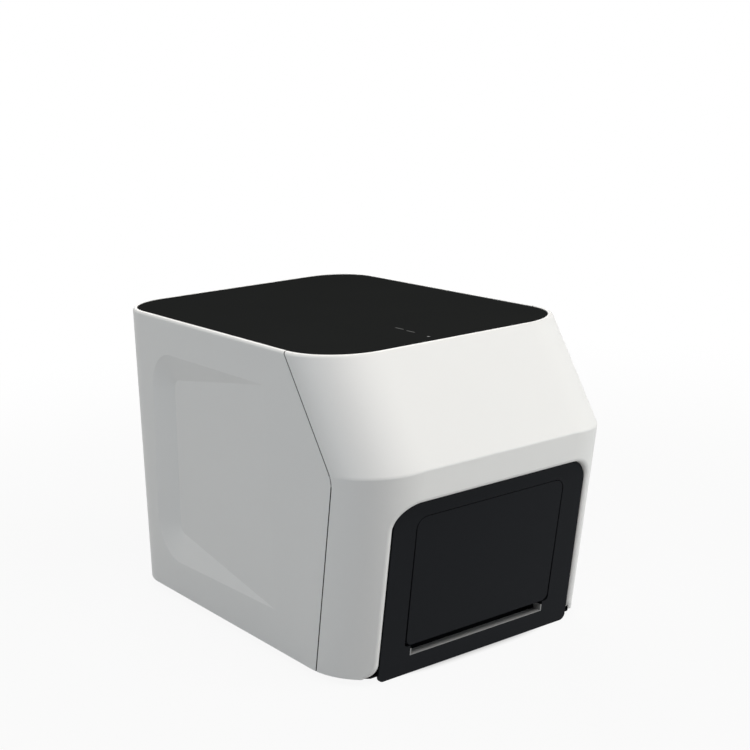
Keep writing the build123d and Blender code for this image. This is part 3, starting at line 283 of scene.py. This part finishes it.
# each material slot's finish: its maker, then its colour and what else the maker takes
FINISHES = {
    "white_shell": (shell_plastic, (0.79, 0.787, 0.78), 0.46),
    "black_plate": (moulded, (0.016, 0.017, 0.017), 0.55, 0.0009, 0.0, 0.08),
    "black_panel": (moulded, (0.009, 0.010, 0.012), 0.5, 0.0006, 0.05, 0.08),
    "grey_trim": (moulded, (0.27, 0.27, 0.27), 0.45, 0.0006, 0.3, 0.03),
    "window": (window_print,),
    "pan": (coated, (0.007, 0.007, 0.008), 0.55, 0.04),
    "foot_rubber": (rubbery, (0.02, 0.02, 0.02)),
    "panel_metal": (coated, (0.30, 0.31, 0.32), 0.45),
    "zinc": (plated, (0.60, 0.61, 0.62)),
    "steel": (brushed, (0.58, 0.58, 0.58), 0.3),
    "aluminium": (brushed, (0.74, 0.75, 0.76), 0.34),
    "anodised_black": (brushed, (0.04, 0.04, 0.045), 0.45),
    "brass": (brushed, (0.72, 0.55, 0.27), 0.3),
    "connector": (moulded, (0.02, 0.02, 0.02), 0.5, 0.0005, 0.3),
    "board": (moulded, (0.02, 0.14, 0.06), 0.35, 0.0006, 0.4),
    "component": (moulded, (0.03, 0.03, 0.032), 0.5, 0.0005, 0.3),
    "white_ceramic": (ceramic, (0.82, 0.82, 0.80)),
    "block_metal": (brushed, (0.76, 0.75, 0.72), 0.35, LINES_ALONG_X),
    "glass": (glassy, (0.85, 0.92, 0.95), 0.02),
    "filter_glass": (glassy, (0.5, 0.3, 0.7), 0.02),
    "belt": (rubbery, (0.02, 0.02, 0.02)),
    "grey_plastic": (moulded, (0.22, 0.23, 0.24), 0.5, 0.0006, 0.3),
}

materials = {slot: maker(slot, *terms) for slot, (maker, *terms) in FINISHES.items()}
for subpart in frame["record"]["subparts"]:
    piece = frame["nodes"][subpart["node"]]
    if not piece.material_slots:
        piece.data.materials.append(None)
    for slot in piece.material_slots:
        slot.material = materials[subpart["material_slot"]]


# ---- studio ----------------------------------------------------------------------------
def lamp(name, place, size, watts, colour):
    """A soft square lamp at place that faces the object."""
    light = bpy.data.lights.new(name, "AREA")
    light.size = size
    light.energy = watts
    light.color = colour
    body = bpy.data.objects.new(name, light)
    body.location = place
    body.rotation_mode = "QUATERNION"
    body.rotation_quaternion = (LAMP_TARGET - Vector(place)).to_track_quat("-Z", "Y")
    bpy.context.scene.collection.objects.link(body)


def seen_directly(value):
    """1 for rays from the camera, mirrors and glass, which see a white studio."""
    camera = value.node("LightPath", output="Is Camera Ray")
    glossy = value.node("LightPath", output="Is Glossy Ray")
    through = value.node("LightPath", output="Is Transmission Ray")
    return camera.most(glossy).most(through)


def make_world():
    """An even grey room, white where it is seen directly."""
    world = bpy.data.worlds.new("studio")
    bpy.context.scene.world = world
    world.use_nodes = True
    background = world.node_tree.nodes["Background"]
    background.inputs["Color"].default_value = rgba((1, 1, 1))
    level = seen_directly(Value(world.node_tree)) * (1 - ROOM_LEVEL) + ROOM_LEVEL
    world.node_tree.links.new(level.socket, background.inputs["Strength"])


def make_floor():
    """A wide pale floor that keeps a soft shadow under the white it shows."""
    mesh = bpy.data.meshes.new("floor")
    turns = ((-1, -1), (1, -1), (1, 1), (-1, 1))
    mesh.from_pydata([(x * FLOOR_REACH, y * FLOOR_REACH, 0) for x, y in turns], [], [(0, 1, 2, 3)])
    floor = bpy.data.objects.new("floor", mesh)
    bpy.context.scene.collection.objects.link(floor)
    material = bpy.data.materials.new("floor")
    material.use_nodes = True
    tree = material.node_tree
    tree.nodes.remove(tree.nodes["Principled BSDF"])
    value = Value(tree)
    matt = value.node("BsdfDiffuse", None, {"Color": rgba((0.5, 0.5, 0.5))})
    glow = value.node("Emission", None, {"Color": rgba((1, 1, 1)), "Strength": 1.0})
    spot = value.node("TexCoord", output="Object")
    away = value.node("VectorMath", {"operation": "LENGTH"}, {0: spot}, output="Value")
    across, deep = (abs(spot.along(letter) * (1 / half)) for letter, half in zip("XY", FOOTPRINT))
    open_floor = (across.power(4) + deep.power(4)).ramp(*FOOTPRINT_EDGE)
    share = away.ramp(*FLOOR_FADE, *FLOOR_GLOW) * open_floor
    mixed = value.node("MixShader", None, {0: seen_directly(value) * share, 1: matt, 2: glow})
    tree.links.new(mixed.socket, tree.nodes["Material Output"].inputs["Surface"])
    mesh.materials.append(material)


make_world()
make_floor()
# each lamp's name, place, size in metres, watts and colour
for settings in (
    ("key", (0.3, -1.4, 3.0), 1.6, 47, (1.0, 0.948, 0.885)),
    ("upper_left", (-1.4, -1.6, 2.8), 1.4, 25, (0.96, 0.98, 1.0)),
    ("front_right", (2.4, -2.4, 0.6), 1.2, 42, (0.95, 1.0, 1.0)),
    ("left", (-3.0, 0.0, 1.4), 2.0, 6.5, (0.42, 0.74, 1.0)),
    ("rear_left", (-2.2, 2.2, 1.8), 1.8, 17, (1.0, 0.94, 0.84)),
    ("rear_right", (1.6, 2.8, 1.6), 1.8, 40, (1.0, 0.98, 0.95)),
):
    lamp(*settings)


# ---- camera ----------------------------------------------------------------------------
YAW, PITCH, ROLL = math.radians(-35.94), math.radians(13.15), math.radians(-2.04)
CAMERA_PLACE = Vector((-0.97518, -1.38305, 0.67234))
FOCAL_SHARE = 1481.8 / 750                # focal length over the picture's width
SENSOR = 36                               # the sensor's width, in millimetres


def make_camera():
    back = Vector((math.sin(YAW) * math.cos(PITCH), -math.cos(YAW) * math.cos(PITCH), math.sin(PITCH)))
    level = Vector((math.cos(YAW), math.sin(YAW), 0))
    above = back.cross(level)
    right = level * math.cos(ROLL) + above * math.sin(ROLL)
    up = back.cross(right)
    data = bpy.data.cameras.new("camera")
    data.sensor_width = SENSOR
    data.lens = SENSOR * FOCAL_SHARE
    camera = bpy.data.objects.new("camera", data)
    turn = Matrix((right, up, back)).transposed()
    camera.matrix_world = Matrix.Translation(CAMERA_PLACE) @ turn.to_4x4()
    bpy.context.scene.collection.objects.link(camera)
    bpy.context.scene.camera = camera


make_camera()
bpy.context.scene.view_settings.view_transform = "Standard"
